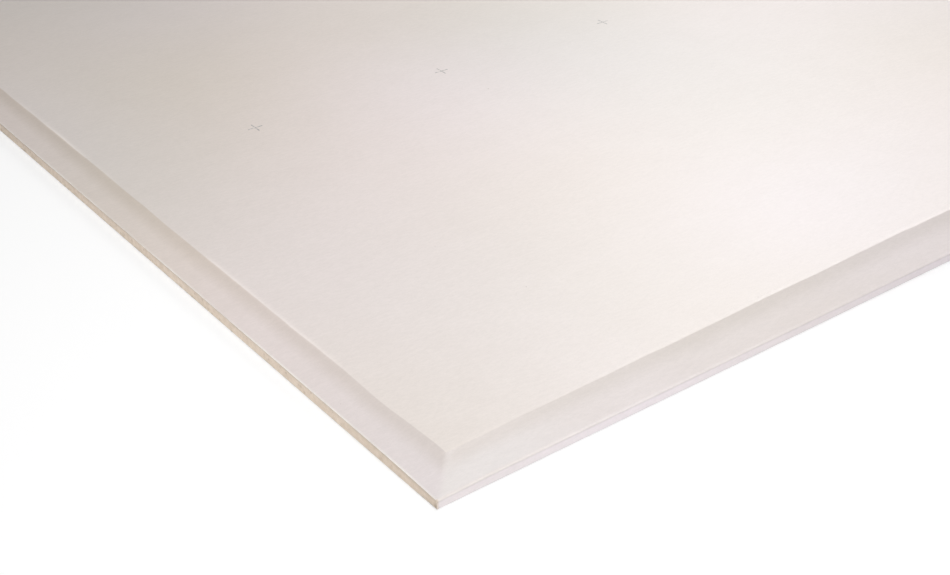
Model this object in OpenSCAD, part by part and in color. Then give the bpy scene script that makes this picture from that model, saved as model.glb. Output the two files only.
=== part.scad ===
// Plasterboard sheet lying face up, tapered along all four edges of its face.
// X runs along the paper-wrapped long edges, Y across the sheet, and Z up from its back.
// The origin is the middle of the back.

/* [Sheet] */
// Length, between the sawn ends
sheet_l = 2500; // [1200:10:3600]
// Width, between the paper-wrapped edges
sheet_w = 1250; // [600:10:1350]
// Thickness, inside the tapers
sheet_t = 12.5; // [9:0.5:18]

/* [Edges] */
// How far the face has dropped where it reaches an edge
edge_drop = 2.5; // [1.5:0.1:3]
// Radius of the folded paper on the two arrises of a wrapped edge
fold_r = 1.2; // [0.5:0.1:2.5]

/* [Taper along the wrapped edges] */
// Width of the taper, from its crest to the edge
side_taper_w = 44; // [36:1:80]
// Width of the ramp, from the crest to its foot
side_ramp_w = 15; // [10:1:26]
// Drop of the ramp, from the crest to its foot
side_ramp_drop = 2.2; // [1:0.1:2.4]
// Radius that eases the ramp into the flat land
side_foot_r = 65; // [20:5:150]

/* [Taper along the sawn ends] */
// Width of the taper, from its crest to the end
end_taper_w = 37; // [32:1:80]
// Width of the ramp, from the crest to its foot
end_ramp_w = 13; // [10:1:24]
// Drop of the ramp, from the crest to its foot
end_ramp_drop = 2.2; // [1:0.1:2.4]
// Radius that eases the ramp into the flat land
end_foot_r = 50; // [20:5:150]

/* [Hidden] */
paper = [0.91, 0.875, 0.85];
$fa = 1;
$fs = 0.3;
// Height of the sheet's edges
edge_t = sheet_t - edge_drop;
// How far a cutter runs past the faces that it cuts through
past = 5;
// How far a round sinks past the sides of its corner, so that it crosses them cleanly
bite = 0.002;
// Largest share of a side that the round at one of its corners may take up
round_share = 0.45;

function unit(angle) = [cos(angle), sin(angle)];

// Slope of the flat land of a taper, down to the edge
function land_angle(taper_w, ramp_w, ramp_drop) = atan2(edge_drop - ramp_drop, taper_w - ramp_w);

// Waste between the corner of an outline and the round of radius r that fits it.
// The sides leave the corner at angles a and b, with the outline between them, and the shorter
// side has length side.
module round_waste(corner, a, b, r, side) {
  half = (b - a) / 2;
  fit_r = min(r, round_share * side * tan(half));
  reach = fit_r / tan(half);
  center = corner + (fit_r - bite) / sin(half) * unit((a + b) / 2);
  difference() {
    polygon([corner + reach * unit(a), 2 * corner - center, corner + reach * unit(b)]);
    translate(center) circle(r = fit_r);
  }
}

// Section of what a taper takes off the face, with the edge at x = 0 and the sheet towards +x
module taper_section(taper_w, ramp_w, ramp_drop, foot_r) {
  foot = [taper_w - ramp_w, sheet_t - ramp_drop];
  ramp = atan2(ramp_drop, ramp_w);
  land = land_angle(taper_w, ramp_w, ramp_drop);
  difference() {
    polygon([
      [-past, edge_t - past * tan(land)],
      foot,
      [taper_w + past / tan(ramp), sheet_t + past],
      [-past, sheet_t + past]
    ]);
    round_waste(foot, ramp, 180 + land, foot_r, min(ramp_w, foot.x));
  }
}

// Section of half the sheet across its width, with a wrapped edge at x = 0
module half_section() {
  land = land_angle(side_taper_w, side_ramp_w, side_ramp_drop);
  difference() {
    square([sheet_w / 2, sheet_t]);
    taper_section(side_taper_w, side_ramp_w, side_ramp_drop, side_foot_r);
    round_waste([0, 0], 0, 90, fold_r, edge_t);
    round_waste([0, edge_t], -90, land, fold_r, edge_t);
  }
}

// Blank with its wrapped edges and their tapers, before the ends are tapered
module wrapped_blank() {
  rotate([90, 0, 90])
    linear_extrude(height = sheet_l, center = true)
      for (hand = [0, 1])
        mirror([hand, 0]) translate([-sheet_w / 2, 0]) half_section();
}

// Taper across the sawn end at -X
module end_taper() {
  translate([-sheet_l / 2, 0, 0])
    rotate([90, 0, 0])
      linear_extrude(height = sheet_w + 2 * past, center = true)
        taper_section(end_taper_w, end_ramp_w, end_ramp_drop, end_foot_r);
}

module drywall_sheet() {
  color(paper)
    difference() {
      wrapped_blank();
      for (hand = [0, 1]) mirror([hand, 0, 0]) end_taper();
    }
}

drywall_sheet();
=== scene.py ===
import math

import bmesh
import bpy
from mathutils import Matrix, Vector, noise


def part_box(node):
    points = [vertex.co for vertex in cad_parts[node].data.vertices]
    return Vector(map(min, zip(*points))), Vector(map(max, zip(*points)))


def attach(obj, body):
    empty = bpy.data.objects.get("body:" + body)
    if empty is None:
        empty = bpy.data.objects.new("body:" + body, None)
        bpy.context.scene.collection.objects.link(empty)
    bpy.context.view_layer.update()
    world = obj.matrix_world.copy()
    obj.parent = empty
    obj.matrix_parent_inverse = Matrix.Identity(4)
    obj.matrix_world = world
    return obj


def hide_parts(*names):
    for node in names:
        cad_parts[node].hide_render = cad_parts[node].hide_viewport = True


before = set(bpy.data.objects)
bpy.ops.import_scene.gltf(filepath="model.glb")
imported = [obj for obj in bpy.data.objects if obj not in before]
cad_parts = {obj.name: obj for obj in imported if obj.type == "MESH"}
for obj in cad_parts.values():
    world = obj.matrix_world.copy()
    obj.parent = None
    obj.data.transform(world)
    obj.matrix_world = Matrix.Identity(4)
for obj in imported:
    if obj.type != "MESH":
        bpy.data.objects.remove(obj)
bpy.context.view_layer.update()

# The sheet lies face up, with its sawn ends at -X and +X and its wrapped edges at -Y and +Y
SHEET = "drywall_sheet"
sheet_low, sheet_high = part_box(SHEET)
END_X = sheet_high.x
SIDE_Y = sheet_high.y
FACE_Z = sheet_high.z

# Tapers, in metres like every size below
EDGE_DROP = 0.0025
RAMP_DROP = 0.0022
SIDE_TAPER = 0.044
END_TAPER = 0.037
EDGE_Z = FACE_Z - EDGE_DROP
FOLD_R = 0.0012

# Droop of the corners, which both tapers press
CORNER_DROOP = 0.0016
DROOP_X = 0.055
DROOP_Y = 0.065

# Shares of a taper's width, from its edge to its crest: where the land ends, how far the foot is eased,
# and the stations of the grid. Then the stations past a crest, and the pitch of the grid beyond them.
LAND_SHARE = 0.66
FOOT_EASE = 0.2
TAPER_SHARES = (0.06, 0.14, 0.24, 0.36, 0.48, 0.56, 0.61, 0.66, 0.71, 0.76, 0.83, 0.9, 0.95, 0.983, 1.0)
PAST_CREST = (0.0007, 0.0016, 0.0027, 0.0041, 0.0065, 0.012)
FACE_GRID = 0.014

# Light and shade painted on the paper of a taper, against the face: painted shade on the ramps, which tilt
# away from the light, and painted light on the side lands and near a corner. An end taper changes from its
# near to its far tint up to END_FAR from a corner, a side taper from CORNER_NEAR to CORNER_FAR.
PLAIN_TINT = Vector((1.0, 1.0, 1.0))
SIDE_LAND_LIGHT = Vector((1.03, 1.035, 1.06))
SIDE_RAMP_SHADE = Vector((0.926, 0.926, 0.924))
SIDE_RAMP_NEAR_SHADE = Vector((0.965, 0.968, 0.985))
CORNER_LIGHT = Vector((1.02, 1.045, 1.065))
CORNER_NEAR = 0.06
CORNER_FAR = 0.16
END_LAND_TINT = Vector((0.995, 0.995, 0.958))
END_RAMP_SHADE = Vector((0.904, 0.892, 0.826))
END_NEAR_TINT = Vector((0.995, 1.0, 1.11))
END_FAR_TINT = Vector((1.025, 1.0, 1.015))
END_FAR = 0.42

# Shares of a taper's width: where a ramp's tint is full and over how much it fades, how much of it is left
# at a mitre and over how much it comes back, and how soft a mitre is and how far it leans to the side
RAMP_FULL = 0.85
RAMP_FADE = 0.35
MITRE_RAMP = 0.4
MITRE_FADE = 0.3
MITRE_SOFT = 0.2
MITRE_LEAN = 0.3

# Tints of the folded paper: a painted highlight on the upper arris, its lilac tint below it, painted
# somewhat lighter too, and where it is cut at a sawn end
ARRIS_HIGHLIGHT = Vector((1.06, 1.07, 1.105))
FOLD_TINT_AND_LIGHT = Vector((1.046, 1.06, 1.143))
FOLD_END_TINT = Vector((0.82, 0.73, 0.6))

# Slow drifts of the paper's tint: waves to the metre, seed and swing
DRIFTS = (
    (3.0, 133.903, (-0.075, -0.069, -0.138)),
    (2.4, 838.587, (-0.083, -0.038, -0.018)),
)

# Crests: the end tapers come out a little narrow, the side tapers are pinched towards the sawn ends, and
# every crest wavers. The face takes up the shift of a crest over STRETCH_FADE widths of its taper.
# Noise along an edge is a sum of waves, each with its number to the metre, its swing and its layer.
END_PINCH = 0.0019
END_PINCH_REACH = 0.06
SIDE_WIDER = 0.0009
SIDE_PINCH = 0.0062
SIDE_PINCH_REACH = 0.62
STRETCH_FADE = 3.0
CREST_WAVER = 0.001
WAVER_WAVES = ((17.0, 1.0, 0.0), (50.0, 0.4, 3.0))
SIDE_WAVER_SEED = 1.7
END_WAVER_SEED = 5.3

# Lip that the press leaves along a crest, which comes and goes, and a painted highlight along it, lightest
# where the lip is high.
# Both begin at ON_FACE of a taper's width.
ON_FACE = 0.8
LIP_HEIGHT = 0.00028
LIP_HALF = 0.0026
LIP_BACK = 0.0003
LIP_MEAN = 0.45
LIP_WAVES = ((6.0, 1.2, 8.0),)
SIDE_LIP_SEED = 1259.786
END_LIP_SEED = 71.41
CREST_HIGHLIGHT = 0.1
HIGHLIGHT_INSIDE = 0.0012
HIGHLIGHT_HALF = 0.0019
HIGHLIGHT_WAVES = ((28.0, 1.2, 4.0), (70.0, 0.8, 9.0))

# Liner papers: the face paper folds round the long edges, with a crease, and laps under the back paper
FACE_PAPER = 0.00055
BACK_PAPER = 0.0004
LAP = 0.024
LAP_SHARES = (1.0, 0.6, 0.25)
LOWER_FOLD_R = 0.0004
FOLD_STEPS = 5
CREASE_DEPTH = 0.0003
CREASE_HALF = 0.0005
CREASE_DOWN = 0.0018
CREASE_REACH = 0.0012
BACK_INSET = 0.012
BACK_COLUMNS = 220
BACK_ROWS = 12
RAGGED_WAVES = ((9.0, 0.0008, 4.0), (80.0, 0.0003, 9.0))

# Cut ends of the papers: how far they fray, with notches to the metre, and how light the rim of the face
# paper is there, partly from wear and partly a painted highlight
FRAY = 0.00012
FRAY_NOTCHES = 700.0
RIM_MEAN = 0.6
RIM_SWING = 0.8
RIM_WAVES = 18.0
RIM_SEED = 3.0

# Attributes of the face paper that its finish reads
FACE_MASKS = ("pressed", "wear_and_highlight", "creased")
FACE_TINT = "tint_and_painted_light"

# Bake maps: a map starts above a strip that the hidden sides of a paper share
BAKE_FROM = 0.01
BAKE_HIDDEN = 0.004
SHARP_ANGLE = math.radians(35)

# Gypsum core: the sawn faces are slices of their own, laid out in bands on their bake map
SLICE = 0.01
SAWN_BANDS = 8
BAND_COLUMNS = 180
BAND_MARGIN = 0.03
SAWN_ROWS = 14
SAWN_SEED = 11.0
CORE_GRID_X = (0.4, 0.8)
CORE_GRID_Y = (0.2, 0.4)

# Roughness of a sawn face: leaning saw marks and grains to the metre, and broken air bubbles, whose radius
# is in cells of their net
SAW_RECESS = 0.0003
SAW_MARKS = 420.0
SAW_MARK_BREAKS = 60.0
SAW_MARK_LEAN = 0.4
SAW_MARK_DEPTH = 0.00008
GRAINS = 900.0
GRAIN_DEPTH = 0.00007
PITS = 260.0
PIT_LEAST = 0.12
PIT_GROWTH = 0.4
PIT_DEPTH = 0.0007
# painted shade in the pits
PIT_SHADE = 0.8
PIT_SPREAD = 7.0

# Painted shade of a sawn face: a patchy band under the face paper, darker bottom corners, and a wide shade
# towards the wrapped edges
UNDER_PAPER_SHADE = 0.6
UNDER_PAPER_SHADE_DOWN = 0.0024
UNDER_PAPER_SHADE_MEAN = 0.75
UNDER_PAPER_SHADE_WAVES = ((25.0, 0.5, 6.0),)
UNDER_PAPER_SHADE_SEED = 2.0
BOTTOM_CORNER_SHADE = 1.0
CORNER_REACH = 0.006
CORNER_SHADE = 0.2
CORNER_SHADE_REACH = 0.16

# Marks along the middle of the face
MARK_FIRST = 0.2134
MARK_PITCH = 0.25
MARK_ARM = 0.009
MARK_STROKE = 0.0007
INK = 0.00002

# Fibres of the papers, to the metre: how far they are drawn out along the sheet, the clouds of the pulp,
# and the coarse and fine fibres. Then the detail and the ends of the range of one noise and of two added.
FIBRE_DRAWN = (0.4, 1.0, 1.0)
PULP_WIDE = 22.0
PULP_DRAWN = 70.0
FIBRE_COARSE = 330.0
FIBRE_FINE = 1100.0
SOFT_DETAIL = 3.0
FINE_DETAIL = 2.0
ONE_NOISE = (0.3, 0.7)
TWO_NOISES = (0.7, 1.3)

# Specks: what share of the cells of their net has none, and how ragged and soft they are
SPECK = (0.3, 0.24, 0.19)
SPECK_SHIFT = (0.37, 0.21, 0.0)
SPECK_NONE = 0.35
SPECK_NOTCHES = 1500.0
SPECK_RAGGED = (0.6, 1.4)
SPECK_SOFT = 0.0015

# Face paper
FACE_DARK = (0.7655, 0.695, 0.654)
FACE_LIGHT = (0.7835, 0.713, 0.674)
FACE_GRAIN = ((0.968, 0.968, 0.966), (1.032, 1.032, 1.034))
FACE_FINENESS = 1.0
FACE_SPECKS = {"Per Metre": 5.0, "Radius": 0.0009}
FACE_SPECK_SHADE = 0.6
FACE_ROUGH = 0.45
TAPER_ROUGH = 0.8
FACE_UNEVEN = 0.03
FACE_BUMP = 0.00012
CREASE_SHADE = 0.17
# rim at the sawn ends: partly wear, partly a painted highlight
RIM_WEAR_AND_HIGHLIGHT = (0.96, 0.91, 0.86)
RIM_TORN = (-0.4, 0.4)

# Back paper
BACK_DARK = (0.41, 0.375, 0.325)
BACK_LIGHT = (0.5, 0.465, 0.41)
BACK_GRAIN = ((0.93, 0.93, 0.93), (1.07, 1.07, 1.07))
BACK_FINENESS = 0.7
BACK_SPECKS = {"Per Metre": 45.0, "Radius": 0.0011}
BACK_SPECK_SHADE = 0.55
BACK_ROUGH = (0.6, 0.72)
BACK_BUMP = 0.0002

# Cut paper
CUT_DARK = (0.72, 0.65, 0.57)
CUT_LIGHT = (0.82, 0.75, 0.68)
CUT_FINENESS = 2.0
CUT_ROUGH = 0.8

# Sawn core
CORE_DARK = (0.835, 0.705, 0.58)
CORE_LIGHT = (0.92, 0.79, 0.67)
# painted shade in the pits, under the face paper and in the corners
CORE_PIT_SHADE = (0.5, 0.395, 0.3)
CORE_GRAIN = ((0.95, 0.945, 0.94), (1.05, 1.055, 1.06))
CORE_LUMPS = 160.0
CORE_LUMP_RANGE = (0.35, 0.65)
CORE_GRAINS = 1200.0
CORE_ROUGH = 0.9
CORE_BUMP = 0.00015

# Print
INK_GREY = (0.4, 0.375, 0.365)
INK_GAPS = (0.45, 0.8)
INK_FINENESS = 1.6
INK_ROUGH = 0.6

# Sockets of the mix node: its factor, its two colours and its result
MIX_FACTOR = 0
MIX_UNDER = 6
MIX_OVER = 7
MIX_RESULT = 2
BUMP_STRENGTH = 0.5

# Camera: its place from the near corner, and its focal length in pixels of the picture
PICTURE_W = 950
FOCAL = 1546.1
SENSOR_W = 36.0
CLIP_START = 0.05
NEAR_CORNER = Vector((sheet_low.x, sheet_low.y, 0.0))
CAMERA_FROM_CORNER = Vector((-0.5182, -0.7249, 0.7398))
CAMERA_DOWN = math.radians(31.52)
CAMERA_TURN = math.radians(37.37)

# Lamps: place and target from the near corner, width, length, spread in degrees, and watts
LAMPS = (
    ("back_right", (2.7, 1.549, 1.5), (0.45, 0.25, 0.0), 0.8, 0.8, 90, 2.5),
    ("back", (2.287, 2.087, 1.5), (0.45, 0.25, 0.0), 0.8, 0.8, 90, 3.5),
    ("back_high", (2.381, 1.365, 2.007), (0.45, 0.25, 0.0), 0.8, 0.8, 90, 2.3),
    ("right", (3.137, 0.97, 1.124), (0.45, 0.25, 0.0), 0.8, 0.8, 90, 1.8),
    ("above", (0.2, 0.2, 1.8), (0.2, 0.2, 0.0), 0.8, 0.8, 180, 10.7),
    ("near", (-0.1, -0.2, 1.0), (0.2, 0.2, 0.0), 0.8, 0.8, 180, 4.4),
    ("front", (0.1, -1.3, 0.25), (0.2, 0.2, 0.0), 0.6, 0.6, 180, 9.6),
    ("low_left", (-1.4, 0.35, 0.035), (0.0, 0.35, 0.008), 1.0, 0.05, 90, 1.8),
    ("far_above", (2.3, 0.65, 1.3), (2.3, 0.65, 0.0), 1.2, 1.2, 100, 1.2),
    ("far_side", (1.9, 2.7, 0.25), (1.9, 1.0, 0.0), 1.0, 0.2, 110, 2.0),
    ("far_end", (4.1, 0.65, 0.4), (2.4, 0.65, 0.0), 1.0, 0.4, 110, 3.0),
)

# Surroundings: the camera sees a white world and a floor of its own colour and glow
WHITE = (1.0, 1.0, 1.0)
WORLD = (0.07, 0.07, 0.07)
FLOOR = (0.86, 0.86, 0.86)
FLOOR_SEEN = (0.45, 0.45, 0.45)
FLOOR_GLOW = 0.62
FLOOR_ROUGH = 0.95
FLOOR_SIZE = 15.0
FLOOR_GAP = 0.0001


# Shape of the sheet

def clamped(value):
    return min(max(value, 0.0), 1.0)


def bell(offset, half):
    return math.exp(-((offset / half) ** 2))


def rolling(along, seed, waves):
    """Noise along an edge, as the sum of its waves."""
    return sum(swing * noise.noise((along * number, seed, layer)) for number, swing, layer in waves)


def taper_drop(share):
    """How far the face has dropped at a share of the way from an edge to its taper's crest."""
    if share >= 1.0:
        return 0.0
    land_fall = (EDGE_DROP - RAMP_DROP) / LAND_SHARE
    ramp_fall = RAMP_DROP / (1.0 - LAND_SHARE)
    past = share - LAND_SHARE
    if past <= -FOOT_EASE:
        return RAMP_DROP - past * land_fall
    if past >= FOOT_EASE:
        return RAMP_DROP - past * ramp_fall
    eased = (ramp_fall - land_fall) * (past + FOOT_EASE) ** 2 / (4.0 * FOOT_EASE)
    return RAMP_DROP - past * land_fall - eased


def face_height(end_inset, side_inset):
    """Height of the face at insets from the nearest end and side; the deeper taper wins, as at a mitre."""
    return FACE_Z - max(taper_drop(end_inset / END_TAPER), taper_drop(side_inset / SIDE_TAPER))


def corner_droop(end_inset, side_inset):
    return CORNER_DROOP * max(0.0, 1.0 - end_inset / DROOP_X) * max(0.0, 1.0 - side_inset / DROOP_Y)


def side_taper_at(x):
    """Width of a side taper, which is pinched towards the sawn ends and wavers."""
    from_end = min((END_X - abs(x)) / SIDE_PINCH_REACH, 1.0)
    pinch = SIDE_PINCH * (2.0 * from_end - 1.0)
    return SIDE_TAPER + SIDE_WIDER + pinch + CREST_WAVER * rolling(x, SIDE_WAVER_SEED, WAVER_WAVES)


def end_taper_at(y):
    """Width of an end taper, which is narrower away from the corners and wavers."""
    from_side = clamped((SIDE_Y - SIDE_TAPER - abs(y)) / END_PINCH_REACH)
    return END_TAPER - END_PINCH * from_side + CREST_WAVER * rolling(y, END_WAVER_SEED, WAVER_WAVES)


def stretched(inset, nominal, actual):
    """Moves a station inset from an edge as the crest moves from its nominal to its actual place."""
    if inset <= nominal:
        return inset * actual / nominal
    fade = max(0.0, 1.0 - (inset - nominal) / (STRETCH_FADE * nominal))
    return inset + (actual - nominal) * fade


def lip_strength(along, seed):
    return max(0.0, LIP_MEAN + rolling(along, seed, LIP_WAVES))


def lip(past_crest, along, seed):
    """Height of the lip near a crest."""
    return LIP_HEIGHT * lip_strength(along, seed) * bell(past_crest + LIP_BACK, LIP_HALF)


def crest_highlight(past_crest, along, seed):
    """Painted highlight near a crest: how much lighter the paper is painted, most where the lip is high."""
    patchy = 1.0 + rolling(along, seed, HIGHLIGHT_WAVES)
    return CREST_HIGHLIGHT * patchy * lip_strength(along, seed) * bell(past_crest - HIGHLIGHT_INSIDE, HIGHLIGHT_HALF)


def drift(x, y):
    """Tint of the paper at a place, drifting slowly in tone and warmth along the sheet."""
    tint = PLAIN_TINT.copy()
    for waves, seed, swing in DRIFTS:
        tint += noise.noise((x * waves, y * waves, seed)) * Vector(swing)
    return tint


def painted_taper_light(end_inset, side_inset):
    """Painted light and shade of a taper at insets from the nearest end and side: darker ramps, lighter
    side lands.
    """
    end_share = end_inset / END_TAPER
    side_share = side_inset / SIDE_TAPER
    share = min(end_share, side_share)
    if share >= 1.0:
        return PLAIN_TINT.copy()
    up_ramp = clamped(1.0 - (RAMP_FULL - share) / RAMP_FADE)
    end_tint = END_LAND_TINT.lerp(END_RAMP_SHADE, up_ramp)
    end_tint *= END_NEAR_TINT.lerp(END_FAR_TINT, clamped(side_inset / END_FAR))
    near = clamped((CORNER_FAR - end_inset) / (CORNER_FAR - CORNER_NEAR))
    side_land = SIDE_LAND_LIGHT * PLAIN_TINT.lerp(CORNER_LIGHT, near)
    side_ramp = SIDE_RAMP_SHADE.lerp(SIDE_RAMP_NEAR_SHADE, near)
    past_mitre = end_share - side_share
    ramp_left = MITRE_RAMP + (1.0 - MITRE_RAMP) * clamped(past_mitre / MITRE_FADE)
    side_tint = side_land.lerp(side_ramp, up_ramp * ramp_left)
    return end_tint.lerp(side_tint, clamped(MITRE_LEAN + past_mitre / MITRE_SOFT))


def taper_stations(half, taper):
    """Insets of a grid from an edge to the middle of the face, fine over the taper and its crest."""
    insets = [share * taper for share in TAPER_SHARES] + [taper + past for past in PAST_CREST]
    last = insets[-1]
    steps = round((half - last) / FACE_GRID)
    return insets + [last + (half - last) * (step + 1) / steps for step in range(steps)]


def fold_stations():
    """(inset, height) round a wrapped edge, from the inner end of the lap to the top of the upper fold."""
    turns = [math.radians(90.0 * step / FOLD_STEPS) for step in range(FOLD_STEPS + 1)]
    crease = EDGE_Z - CREASE_DOWN
    around = [(LAP * share, BACK_PAPER) for share in LAP_SHARES]
    for turn in turns:
        rise = LOWER_FOLD_R * (1 - math.cos(turn))
        around.append((LOWER_FOLD_R * (1 - math.sin(turn)), BACK_PAPER + rise))
    around += [(0.0, crease - 3 * CREASE_HALF), (0.0, crease - CREASE_HALF)]
    around += [(CREASE_DEPTH, crease), (0.0, crease + CREASE_HALF)]
    around += [(FOLD_R * (1 - math.cos(turn)), EDGE_Z - FOLD_R * (1 - math.sin(turn))) for turn in turns]
    return around


def both_hands(stations):
    """Stations from the -1 side to the middle and out to the +1 side, each with its side."""
    return [(-1, station) for station in stations] + [(1, station) for station in stations[-2::-1]]


def core_section(side_inset):
    """Lowest and highest height of the core at a sawn end, inset from the nearest wrapped edge."""
    low = BACK_PAPER + (FACE_PAPER if side_inset < LAP else 0.0)
    high = EDGE_Z - corner_droop(0.0, side_inset) - FACE_PAPER
    corner = FOLD_R - max(side_inset, FACE_PAPER)
    if corner > 0.0:
        rounding = FOLD_R - FACE_PAPER - math.sqrt(max((FOLD_R - FACE_PAPER) ** 2 - corner**2, 0.0))
        return low + rounding, high - rounding
    return low, high


def sawn_pit(y, z, seed):
    """How deep a broken air bubble goes at a point of a sawn face, from 0 to 1."""
    distances, centres = noise.voronoi((y * PITS, z * PITS, seed), distance_metric="DISTANCE")
    size = max(0.0, noise.cell(centres[0] * PIT_SPREAD))
    return size * max(0.0, 1.0 - distances[0] / (PIT_LEAST + PIT_GROWTH * size))


def sawn_shade(side_inset, below_top, above_bottom, along):
    """Painted shade of a sawn face: darker just under the face paper, in the bottom corners and towards the
    wrapped edges, from 0 to 1.
    """
    patchy = UNDER_PAPER_SHADE_MEAN + rolling(along, UNDER_PAPER_SHADE_SEED, UNDER_PAPER_SHADE_WAVES)
    under_paper = UNDER_PAPER_SHADE * patchy * max(0.0, 1.0 - below_top / UNDER_PAPER_SHADE_DOWN)
    from_corner = math.hypot(side_inset, above_bottom)
    in_corner = BOTTOM_CORNER_SHADE * max(0.0, 1.0 - from_corner / CORNER_REACH)
    return max(under_paper, in_corner) + CORNER_SHADE * max(0.0, 1.0 - side_inset / CORNER_SHADE_REACH)


def sawn_depth(y, z, seed):
    """Depth of a sawn face behind the papers, with its saw marks and grain."""
    marks = noise.noise(((y + SAW_MARK_LEAN * z) * SAW_MARKS, z * SAW_MARK_BREAKS, seed))
    grain = noise.noise((y * GRAINS, z * GRAINS, seed))
    return SAW_RECESS + SAW_MARK_DEPTH * marks + GRAIN_DEPTH * grain


# Making of the pieces

def counted_grid(columns, rows, levels=None):
    """A flat grid with vertices at whole numbers of columns and rows, and a bake map.

    Levels, where given, say how far up the bake map each row lies, from 0 to 1.
    """
    bm = bmesh.new()
    place = Matrix.Translation((columns / 2, rows / 2, 0)) @ Matrix.Diagonal((columns, rows, 1, 1))
    bmesh.ops.create_grid(bm, x_segments=columns, y_segments=rows, size=0.5, matrix=place)
    bake = bm.loops.layers.uv.new("OFBake")
    for face in bm.faces:
        for loop in face.loops:
            row = round(loop.vert.co.y)
            level = levels[row] if levels else row / rows
            loop[bake].uv = (loop.vert.co.x / columns, BAKE_FROM + (1.0 - BAKE_FROM) * level)
    return bm


def new_piece(name, bm, *materials):
    """Makes a bmesh a finished piece: smooth, crisp at its corners, and riding on the sheet."""
    bmesh.ops.recalc_face_normals(bm, faces=bm.faces)
    if bm.calc_volume(signed=True) < 0.0:
        bmesh.ops.reverse_faces(bm, faces=bm.faces)
    mesh = bpy.data.meshes.new(name)
    bm.to_mesh(mesh)
    bm.free()
    mesh.shade_smooth()
    mesh.set_sharp_from_angle(angle=SHARP_ANGLE)
    for material in materials:
        mesh.materials.append(material)
    piece = bpy.data.objects.new(name, mesh)
    bpy.context.scene.collection.objects.link(piece)
    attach(piece, "root")
    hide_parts(SHEET)


def thicken(bm, thickness):
    """Gives a sheet its thickness behind its faces; the new faces take the second material."""
    bmesh.ops.recalc_face_normals(bm, faces=bm.faces)
    outer = set(bm.faces)
    bmesh.ops.solidify(bm, geom=bm.faces[:], thickness=thickness)
    bake = bm.loops.layers.uv.active
    for face in bm.faces:
        if face not in outer:
            face.material_index = 1
            for loop in face.loops:
                loop[bake].uv = (loop[bake].uv.x, loop[bake].uv.y * BAKE_HIDDEN)


def bake_levels(rows):
    """How far up its bake map each row of the face paper lies, as the paper runs over the sheet."""
    points = [(hand * (SIDE_Y - inset), height or EDGE_Z) for hand, (inset, height) in rows]
    run = [0.0]
    for here, past in zip(points, points[1:]):
        run.append(run[-1] + math.dist(here, past))
    return [length / run[-1] for length in run]


def split_mitres(bm, grid, columns, rows, folds):
    """Splits the cells on the four mitres along their diagonals, so that a mitre is a straight line."""
    for first_column, step in ((1, 1), (columns - 1, -1)):
        for first_row, rise in ((folds, 1), (rows - folds, -1)):
            mitre = [grid[first_column + n * step, first_row + n * rise] for n in range(len(TAPER_SHARES))]
            for pair in zip(mitre, mitre[1:]):
                bmesh.ops.connect_vert_pair(bm, verts=pair)


def make_face_paper(material, hidden):
    """Face paper: it covers the face and its tapers, folds round the long edges and laps onto the back."""
    folds = fold_stations()
    face_stations = [(inset, None) for inset in taper_stations(SIDE_Y, SIDE_TAPER)]
    rows = both_hands(folds + face_stations)
    xs = [hand * (END_X - inset) for hand, inset in both_hands([0.0] + taper_stations(END_X, END_TAPER))]
    bm = counted_grid(len(xs) - 1, len(rows) - 1, bake_levels(rows))
    pressed, wear_and_highlight, creased = (bm.verts.layers.float.new(name) for name in FACE_MASKS)
    tint_and_painted_light = bm.verts.layers.float_color.new(FACE_TINT)
    grid = {}
    for vert in bm.verts:
        column, row = round(vert.co.x), round(vert.co.y)
        grid[column, row] = vert
        hand, (inset, height) = rows[row]
        x = xs[column]
        y = hand * (SIDE_Y - inset)
        end_inset = END_X - abs(x)
        at_end = end_inset == 0.0
        tint = drift(x, y)
        if height is None:
            # painted light and shade of the tapers
            tint *= painted_taper_light(end_inset, inset)
            vert[pressed] = float(inset < SIDE_TAPER or end_inset < END_TAPER)
            if at_end:
                # rim at a sawn end: wear and a painted highlight
                vert[wear_and_highlight] = clamped(RIM_MEAN + RIM_SWING * noise.noise((y * RIM_WAVES, RIM_SEED, x)))
            height = face_height(end_inset, inset) - corner_droop(end_inset, inset)
            if inset > ON_FACE * SIDE_TAPER and end_inset > ON_FACE * END_TAPER:
                side_crest = (inset - SIDE_TAPER, x, -hand * SIDE_LIP_SEED)
                end_crest = (end_inset - END_TAPER, y, math.copysign(END_LIP_SEED, -x))
                # painted highlight along the crests, where the lip is
                tint *= 1.0 + max(crest_highlight(*side_crest), crest_highlight(*end_crest))
                height += lip(*side_crest) + lip(*end_crest)
            y = hand * (SIDE_Y - stretched(inset, SIDE_TAPER, side_taper_at(x)))
            x = math.copysign(END_X - stretched(end_inset, END_TAPER, end_taper_at(y)), x)
        else:
            above_crease = height - EDGE_Z + CREASE_DOWN
            # painted highlight on the upper arris; the fold below keeps its lilac tint, painted somewhat
            # lighter
            tint *= ARRIS_HIGHLIGHT if above_crease > CREASE_HALF else FOLD_TINT_AND_LIGHT
            if at_end:
                tint *= FOLD_END_TINT
            vert[pressed] = 1.0
            vert[creased] = max(0.0, 1.0 - abs(above_crease) / CREASE_REACH)
            height -= corner_droop(end_inset, 0.0) * height / EDGE_Z
        if at_end:
            notch = noise.noise((y * FRAY_NOTCHES, height * FRAY_NOTCHES, x))
            x -= math.copysign(FRAY * (1.0 + notch), x)
        vert[tint_and_painted_light] = (*tint, 1.0)
        vert.co = (x, y, height)
    split_mitres(bm, grid, len(xs) - 1, len(rows) - 1, len(folds))
    thicken(bm, FACE_PAPER)
    new_piece("face_paper", bm, material, hidden)


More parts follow.
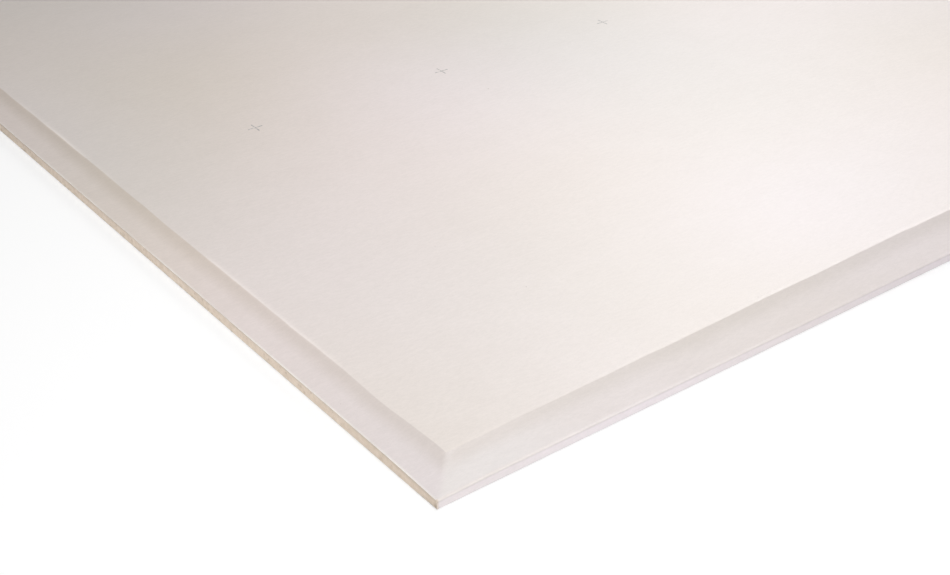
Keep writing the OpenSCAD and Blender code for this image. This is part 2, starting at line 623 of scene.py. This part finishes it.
def make_back_paper(material, hidden):
    """Back paper: a flat sheet between the long edges, laid over the laps of the face paper."""
    bm = counted_grid(BACK_COLUMNS, BACK_ROWS)
    for vert in bm.verts:
        x = (2.0 * vert.co.x / BACK_COLUMNS - 1.0) * (END_X - FRAY)
        across = 2.0 * vert.co.y / BACK_ROWS - 1.0
        ragged = rolling(x, across, RAGGED_WAVES)
        vert.co = (x, -across * (SIDE_Y - BACK_INSET + ragged), 0.0)
    thicken(bm, BACK_PAPER)
    new_piece("back_paper", bm, material, hidden)


def make_sawn_ends(material):
    """Sawn ends of the core: a slice at each end, whose outer face is rough."""
    whole = bmesh.new()
    columns = SAWN_BANDS * BAND_COLUMNS
    reach = SIDE_Y - FACE_PAPER
    mesh = bpy.data.meshes.new("slice")
    for number, hand in enumerate((-1, 1)):
        seed = SAWN_SEED * hand
        bm = counted_grid(columns, SAWN_ROWS)
        bake = bm.loops.layers.uv.active
        for face in bm.faces:
            band = int(face.calc_center_median().x // BAND_COLUMNS)
            for loop in face.loops:
                along = loop.vert.co.x / BAND_COLUMNS - band
                rise = BAND_MARGIN + (1.0 - 2.0 * BAND_MARGIN) * loop.vert.co.y / SAWN_ROWS
                loop[bake].uv = (along, (number * SAWN_BANDS + band + rise) / (2 * SAWN_BANDS))
        # painted shade of the sawn faces is kept in the attribute named pit
        shade = bm.verts.layers.float.new("pit")
        pushed = bmesh.ops.extrude_face_region(bm, geom=bm.faces[:])["geom"]
        back = {item for item in pushed if isinstance(item, bmesh.types.BMVert)}
        for vert in bm.verts:
            y = reach * (2.0 * vert.co.x / columns - 1.0)
            side_inset = SIDE_Y - abs(y)
            low, high = core_section(side_inset)
            z = low + (high - low) * vert.co.y / SAWN_ROWS
            depth = SLICE
            if vert not in back:
                pit = sawn_pit(y, z, seed)
                depth = sawn_depth(y, z, seed) + PIT_DEPTH * pit
                # painted shade under the face paper, in the corners and in the pits
                painted_shade = sawn_shade(side_inset, high - z, z - low, y)
                vert[shade] = clamped(max(PIT_SHADE * pit, painted_shade))
            vert.co = (hand * (END_X - depth), y, z)
        behind = [face for face in bm.faces if all(vert in back for vert in face.verts)]
        bmesh.ops.dissolve_faces(bm, faces=behind, use_verts=False)
        bmesh.ops.recalc_face_normals(bm, faces=bm.faces)
        bm.to_mesh(mesh)
        bm.free()
        whole.from_mesh(mesh)
    bpy.data.meshes.remove(mesh)
    new_piece("sawn_ends", whole, material)


def make_core(material):
    """Body of the core, between the slices and inside the papers."""
    columns = both_hands([SLICE, LAND_SHARE * END_TAPER, END_TAPER, *CORE_GRID_X, END_X])
    rows = both_hands([FOLD_R, LAND_SHARE * SIDE_TAPER, SIDE_TAPER, *CORE_GRID_Y, SIDE_Y])
    bm = counted_grid(len(columns) - 1, len(rows) - 1)
    pushed = bmesh.ops.extrude_face_region(bm, geom=bm.faces[:])["geom"]
    top = {item for item in pushed if isinstance(item, bmesh.types.BMVert)}
    for vert in bm.verts:
        end, end_inset = columns[round(vert.co.x)]
        side, side_inset = rows[round(vert.co.y)]
        height = BACK_PAPER + FACE_PAPER
        if vert in top:
            droop = corner_droop(end_inset, side_inset)
            height = face_height(end_inset, side_inset) - droop - 2 * FACE_PAPER
        vert.co = (end * (END_X - end_inset), side * (SIDE_Y - side_inset), height)
    new_piece("gypsum_core", bm, material)


def make_centre_marks(material):
    """Small crosses printed along the middle of the face: nine squares each, without the corners."""
    bm = bmesh.new()
    x = MARK_FIRST - END_X
    while x < END_X:
        cross = bmesh.ops.create_grid(bm, x_segments=3, y_segments=3, size=1.5)["verts"]
        faces = {face for vert in cross for face in vert.link_faces}
        corners = [face for face in faces if min(abs(c) for c in face.calc_center_median().xy) > 0.5]
        bmesh.ops.delete(bm, geom=corners, context="FACES")
        cross = [vert for vert in cross if vert.is_valid]
        for vert in cross:
            arms = [math.copysign(MARK_ARM if abs(c) > 1.0 else MARK_STROKE, c) for c in vert.co.xy]
            vert.co = (x + arms[0], arms[1], FACE_Z)
        x += MARK_PITCH
    pushed = bmesh.ops.extrude_face_region(bm, geom=bm.faces[:])["geom"]
    raised = [item for item in pushed if isinstance(item, bmesh.types.BMVert)]
    bmesh.ops.translate(bm, verts=raised, vec=(0.0, 0.0, INK))
    new_piece("centre_marks", bm, material)


# Finishes

def add(tree, kind, inputs=(), **settings):
    """Adds a node with its settings, and sets or links its inputs."""
    made = tree.nodes.new(kind)
    for name, value in settings.items():
        setattr(made, name, value)
    for key, value in dict(inputs).items():
        if isinstance(value, bpy.types.NodeSocket):
            tree.links.new(value, made.inputs[key])
        else:
            made.inputs[key].default_value = value
    return made


def object_place(tree, scale=(1.0, 1.0, 1.0), shift=(0.0, 0.0, 0.0)):
    """A place on the sheet in metres, with each axis scaled, so that a pattern can be drawn out."""
    place = add(tree, "ShaderNodeTexCoord").outputs["Object"]
    laid = {"Vector": place, "Location": shift, "Scale": scale}
    return add(tree, "ShaderNodeMapping", laid).outputs["Vector"]


def cloud(tree, place, scale, detail):
    """Noise about 0.5, with scale features to the metre."""
    inputs = {"Vector": place, "Scale": scale, "Detail": detail}
    return add(tree, "ShaderNodeTexNoise", inputs).outputs["Fac"]


def ranged(tree, value, low, high, out_low=0.0, out_high=1.0):
    limits = {"Value": value, "From Min": low, "From Max": high, "To Min": out_low, "To Max": out_high}
    return add(tree, "ShaderNodeMapRange", limits).outputs["Result"]


def math_of(tree, operation, first, second):
    return add(tree, "ShaderNodeMath", {0: first, 1: second}, operation=operation).outputs[0]


def mixed(tree, mask, under, over, blend="MIX"):
    """A colour that goes from under to over with the mask; each is a colour or another node's output."""
    colors = [c if isinstance(c, bpy.types.NodeSocket) else (*c, 1.0) for c in (under, over)]
    inputs = {MIX_FACTOR: mask, MIX_UNDER: colors[0], MIX_OVER: colors[1]}
    return add(tree, "ShaderNodeMix", inputs, data_type="RGBA", blend_type=blend).outputs[MIX_RESULT]


def attribute(tree, name):
    return add(tree, "ShaderNodeAttribute", attribute_name=name).outputs


def new_group(name, inputs, outputs):
    """An empty shader group with number sockets, and its input and output nodes."""
    tree = bpy.data.node_groups.new(name, "ShaderNodeTree")
    for socket in inputs:
        tree.interface.new_socket(socket, in_out="INPUT", socket_type="NodeSocketFloat")
    for socket in outputs:
        tree.interface.new_socket(socket, in_out="OUTPUT", socket_type="NodeSocketFloat")
    return tree, add(tree, "NodeGroupInput").outputs, add(tree, "NodeGroupOutput")


def make_fibre_group():
    """Liner paper: soft clouds where the pulp lies thicker, and fibres drawn out along the sheet."""
    tree, given, result = new_group("liner_fibre", ("Fineness",), ("Cloud", "Fibre", "Height"))
    place = object_place(tree)
    drawn = object_place(tree, FIBRE_DRAWN)
    wide = cloud(tree, place, PULP_WIDE, SOFT_DETAIL)
    pulp = math_of(tree, "ADD", wide, cloud(tree, drawn, PULP_DRAWN, SOFT_DETAIL))
    coarse = math_of(tree, "MULTIPLY", given["Fineness"], FIBRE_COARSE)
    fine = math_of(tree, "MULTIPLY", given["Fineness"], FIBRE_FINE)
    fibres = [cloud(tree, drawn, scale, FINE_DETAIL) for scale in (coarse, fine)]
    fibre = math_of(tree, "ADD", *fibres)
    outputs = {
        "Cloud": ranged(tree, pulp, *TWO_NOISES),
        "Fibre": ranged(tree, fibre, *TWO_NOISES),
        "Height": fibre,
    }
    for name, socket in outputs.items():
        tree.links.new(socket, result.inputs[name])
    return tree


def make_speck_group():
    """Specks of unpulped fibre and dirt: a spot of its own size in most cells of a loose net."""
    tree, given, result = new_group("specks", ("Per Metre", "Radius"), ("Speck",))
    net = {"Vector": object_place(tree, shift=SPECK_SHIFT), "Scale": given["Per Metre"]}
    cell = add(tree, "ShaderNodeTexVoronoi", net, voronoi_dimensions="2D")
    chance = add(tree, "ShaderNodeSeparateColor", {"Color": cell.outputs["Color"]}).outputs["Red"]
    largest = math_of(tree, "MULTIPLY", given["Radius"], given["Per Metre"])
    radius = math_of(tree, "MULTIPLY", largest, ranged(tree, chance, SPECK_NONE, 1.0))
    notches = cloud(tree, object_place(tree), SPECK_NOTCHES, 1.0)
    ragged = ranged(tree, notches, *ONE_NOISE, *SPECK_RAGGED)
    away = math_of(tree, "MULTIPLY", cell.outputs["Distance"], ragged)
    spot = math_of(tree, "SUBTRACT", radius, away)
    tree.links.new(ranged(tree, spot, 0.0, SPECK_SOFT), result.inputs["Speck"])
    return tree


def new_material(name, roughness=0.5):
    material = bpy.data.materials.new(name)
    material.use_nodes = True
    shader = material.node_tree.nodes["Principled BSDF"]
    shader.inputs["Roughness"].default_value = roughness
    return material, material.node_tree, shader


def paper_fibre(tree, fibre, fineness):
    return add(tree, "ShaderNodeGroup", {"Fineness": fineness}, node_tree=fibre).outputs


def grained(tree, tone, mask, grain):
    """A colour with a fine grain: the mask takes it from the first to the second of two tints of it."""
    return mixed(tree, 1.0, tone, mixed(tree, mask, *grain), "MULTIPLY")


def specked(tree, paper, specks, net, shade):
    """A paper with specks; the net gives their number to the metre and their largest radius."""
    speck = add(tree, "ShaderNodeGroup", net, node_tree=specks).outputs["Speck"]
    return mixed(tree, math_of(tree, "MULTIPLY", speck, shade), paper, SPECK)


def bumped(tree, shader, height, distance):
    bump = add(tree, "ShaderNodeBump", {"Height": height, "Strength": BUMP_STRENGTH, "Distance": distance})
    tree.links.new(bump.outputs["Normal"], shader.inputs["Normal"])


def make_face_finish(fibre, specks):
    """Pale liner of the face: nearly even, with a fine grain and a few specks, and matt where pressed."""
    material, tree, shader = new_material("face_liner")
    threads = paper_fibre(tree, fibre, FACE_FINENESS)
    tone = mixed(tree, threads["Cloud"], FACE_DARK, FACE_LIGHT)
    paper = grained(tree, tone, threads["Fibre"], FACE_GRAIN)
    pressed, wear_and_highlight, creased = (attribute(tree, name)["Fac"] for name in FACE_MASKS)
    # the tint attribute carries slow drifts and painted light and shade of the tapers, crests and fold
    toned = mixed(tree, 1.0, paper, attribute(tree, FACE_TINT)["Color"], "MULTIPLY")
    torn = math_of(tree, "MULTIPLY", wear_and_highlight, ranged(tree, threads["Fibre"], *RIM_TORN))
    # lighter rim at the sawn ends: wear and a painted highlight
    rimmed = mixed(tree, torn, toned, RIM_WEAR_AND_HIGHLIGHT)
    lined = mixed(tree, math_of(tree, "MULTIPLY", creased, CREASE_SHADE), rimmed, SPECK)
    shown = specked(tree, lined, specks, FACE_SPECKS, FACE_SPECK_SHADE)
    tree.links.new(shown, shader.inputs["Base Color"])
    matt = ranged(tree, pressed, 0.0, 1.0, FACE_ROUGH, TAPER_ROUGH)
    uneven = ranged(tree, threads["Fibre"], 0.0, 1.0, -FACE_UNEVEN, FACE_UNEVEN)
    tree.links.new(math_of(tree, "ADD", matt, uneven), shader.inputs["Roughness"])
    bumped(tree, shader, threads["Height"], FACE_BUMP)
    return material


def make_back_finish(fibre, specks):
    """Greyer recycled liner of the back: cloudy, with coarser fibres and more specks."""
    material, tree, shader = new_material("back_liner")
    threads = paper_fibre(tree, fibre, BACK_FINENESS)
    tone = mixed(tree, threads["Cloud"], BACK_DARK, BACK_LIGHT)
    paper = grained(tree, tone, threads["Fibre"], BACK_GRAIN)
    shown = specked(tree, paper, specks, BACK_SPECKS, BACK_SPECK_SHADE)
    tree.links.new(shown, shader.inputs["Base Color"])
    tree.links.new(ranged(tree, threads["Fibre"], 0.0, 1.0, *BACK_ROUGH), shader.inputs["Roughness"])
    bumped(tree, shader, threads["Height"], BACK_BUMP)
    return material


def make_cut_finish(fibre):
    """Bare cut edge and inner side of the papers."""
    material, tree, shader = new_material("cut_paper", CUT_ROUGH)
    threads = paper_fibre(tree, fibre, CUT_FINENESS)
    tree.links.new(mixed(tree, threads["Fibre"], CUT_DARK, CUT_LIGHT), shader.inputs["Base Color"])
    return material


def make_core_finish():
    """Sawn gypsum: warm and chalky, with a fine grain and lighter lumps, and painted shade in the pits,
    under the face paper and in the corners.
    """
    material, tree, shader = new_material("core_gypsum", CORE_ROUGH)
    place = object_place(tree)
    lumps = ranged(tree, cloud(tree, place, CORE_LUMPS, SOFT_DETAIL), *CORE_LUMP_RANGE)
    grain = ranged(tree, cloud(tree, place, CORE_GRAINS, FINE_DETAIL), *ONE_NOISE)
    core = grained(tree, mixed(tree, lumps, CORE_DARK, CORE_LIGHT), grain, CORE_GRAIN)
    # painted shade in the pits, under the face paper and in the corners
    shown = mixed(tree, attribute(tree, "pit")["Fac"], core, CORE_PIT_SHADE)
    tree.links.new(shown, shader.inputs["Base Color"])
    bumped(tree, shader, grain, CORE_BUMP)
    return material


def make_ink_finish(fibre):
    """Faint grey print, broken up by the paper's fibres."""
    material, tree, shader = new_material("mark_ink", INK_ROUGH)
    threads = paper_fibre(tree, fibre, INK_FINENESS)
    gaps = ranged(tree, threads["Fibre"], *INK_GAPS)
    tree.links.new(mixed(tree, gaps, INK_GREY, FACE_LIGHT), shader.inputs["Base Color"])
    return material


# Studio

def make_camera():
    camera = bpy.data.cameras.new("camera")
    camera.sensor_width = SENSOR_W
    camera.lens = FOCAL * SENSOR_W / PICTURE_W
    camera.clip_start = CLIP_START
    stand = bpy.data.objects.new("camera", camera)
    stand.location = NEAR_CORNER + CAMERA_FROM_CORNER
    stand.rotation_euler = (math.radians(90) - CAMERA_DOWN, 0.0, -CAMERA_TURN)
    bpy.context.scene.collection.objects.link(stand)
    bpy.context.scene.camera = stand


def seen(tree):
    """1 for the rays that show the surroundings: those of the camera, of gloss and through glass."""
    path = add(tree, "ShaderNodeLightPath").outputs
    direct = math_of(tree, "MAXIMUM", path["Is Camera Ray"], path["Is Glossy Ray"])
    return math_of(tree, "MAXIMUM", direct, path["Is Transmission Ray"])


def make_floor():
    """Floor just under the sheet, pale where it is seen, so that only a faint shadow shows."""
    bm = bmesh.new()
    under = Matrix.Translation((0.0, 0.0, -FLOOR_GAP))
    bmesh.ops.create_grid(bm, x_segments=1, y_segments=1, size=FLOOR_SIZE, matrix=under)
    mesh = bpy.data.meshes.new("floor")
    bm.to_mesh(mesh)
    bm.free()
    material, tree, shader = new_material("floor", FLOOR_ROUGH)
    shown = seen(tree)
    tree.links.new(mixed(tree, shown, FLOOR, FLOOR_SEEN), shader.inputs["Base Color"])
    tree.links.new(math_of(tree, "MULTIPLY", shown, FLOOR_GLOW), shader.inputs["Emission Strength"])
    shader.inputs["Emission Color"].default_value = (*WHITE, 1.0)
    shader.inputs["Specular IOR Level"].default_value = 0.0
    mesh.materials.append(material)
    floor = bpy.data.objects.new("floor", mesh)
    bpy.context.scene.collection.objects.link(floor)


def make_lamps():
    for name, place, target, width, length, spread, watts in LAMPS:
        lamp = bpy.data.lights.new(name, "AREA")
        lamp.energy = watts
        lamp.shape = "RECTANGLE"
        lamp.size = width
        lamp.size_y = length
        lamp.spread = math.radians(spread)
        stand = bpy.data.objects.new(name, lamp)
        stand.location = NEAR_CORNER + Vector(place)
        stand.rotation_euler = (Vector(target) - Vector(place)).to_track_quat("-Z", "Y").to_euler()
        bpy.context.scene.collection.objects.link(stand)


def make_world():
    world = bpy.data.worlds.new("studio")
    world.use_nodes = True
    tree = world.node_tree
    tree.links.new(mixed(tree, seen(tree), WORLD, WHITE), tree.nodes["Background"].inputs["Color"])
    bpy.context.scene.world = world


fibre = make_fibre_group()
specks = make_speck_group()
face_liner = make_face_finish(fibre, specks)
back_liner = make_back_finish(fibre, specks)
cut_paper = make_cut_finish(fibre)
core_gypsum = make_core_finish()
mark_ink = make_ink_finish(fibre)

make_camera()
make_floor()
make_lamps()
make_world()
make_core(core_gypsum)
make_sawn_ends(core_gypsum)
make_back_paper(back_liner, cut_paper)
make_face_paper(face_liner, cut_paper)
make_centre_marks(mark_ink)

bpy.context.scene.view_settings.view_transform = "Standard"
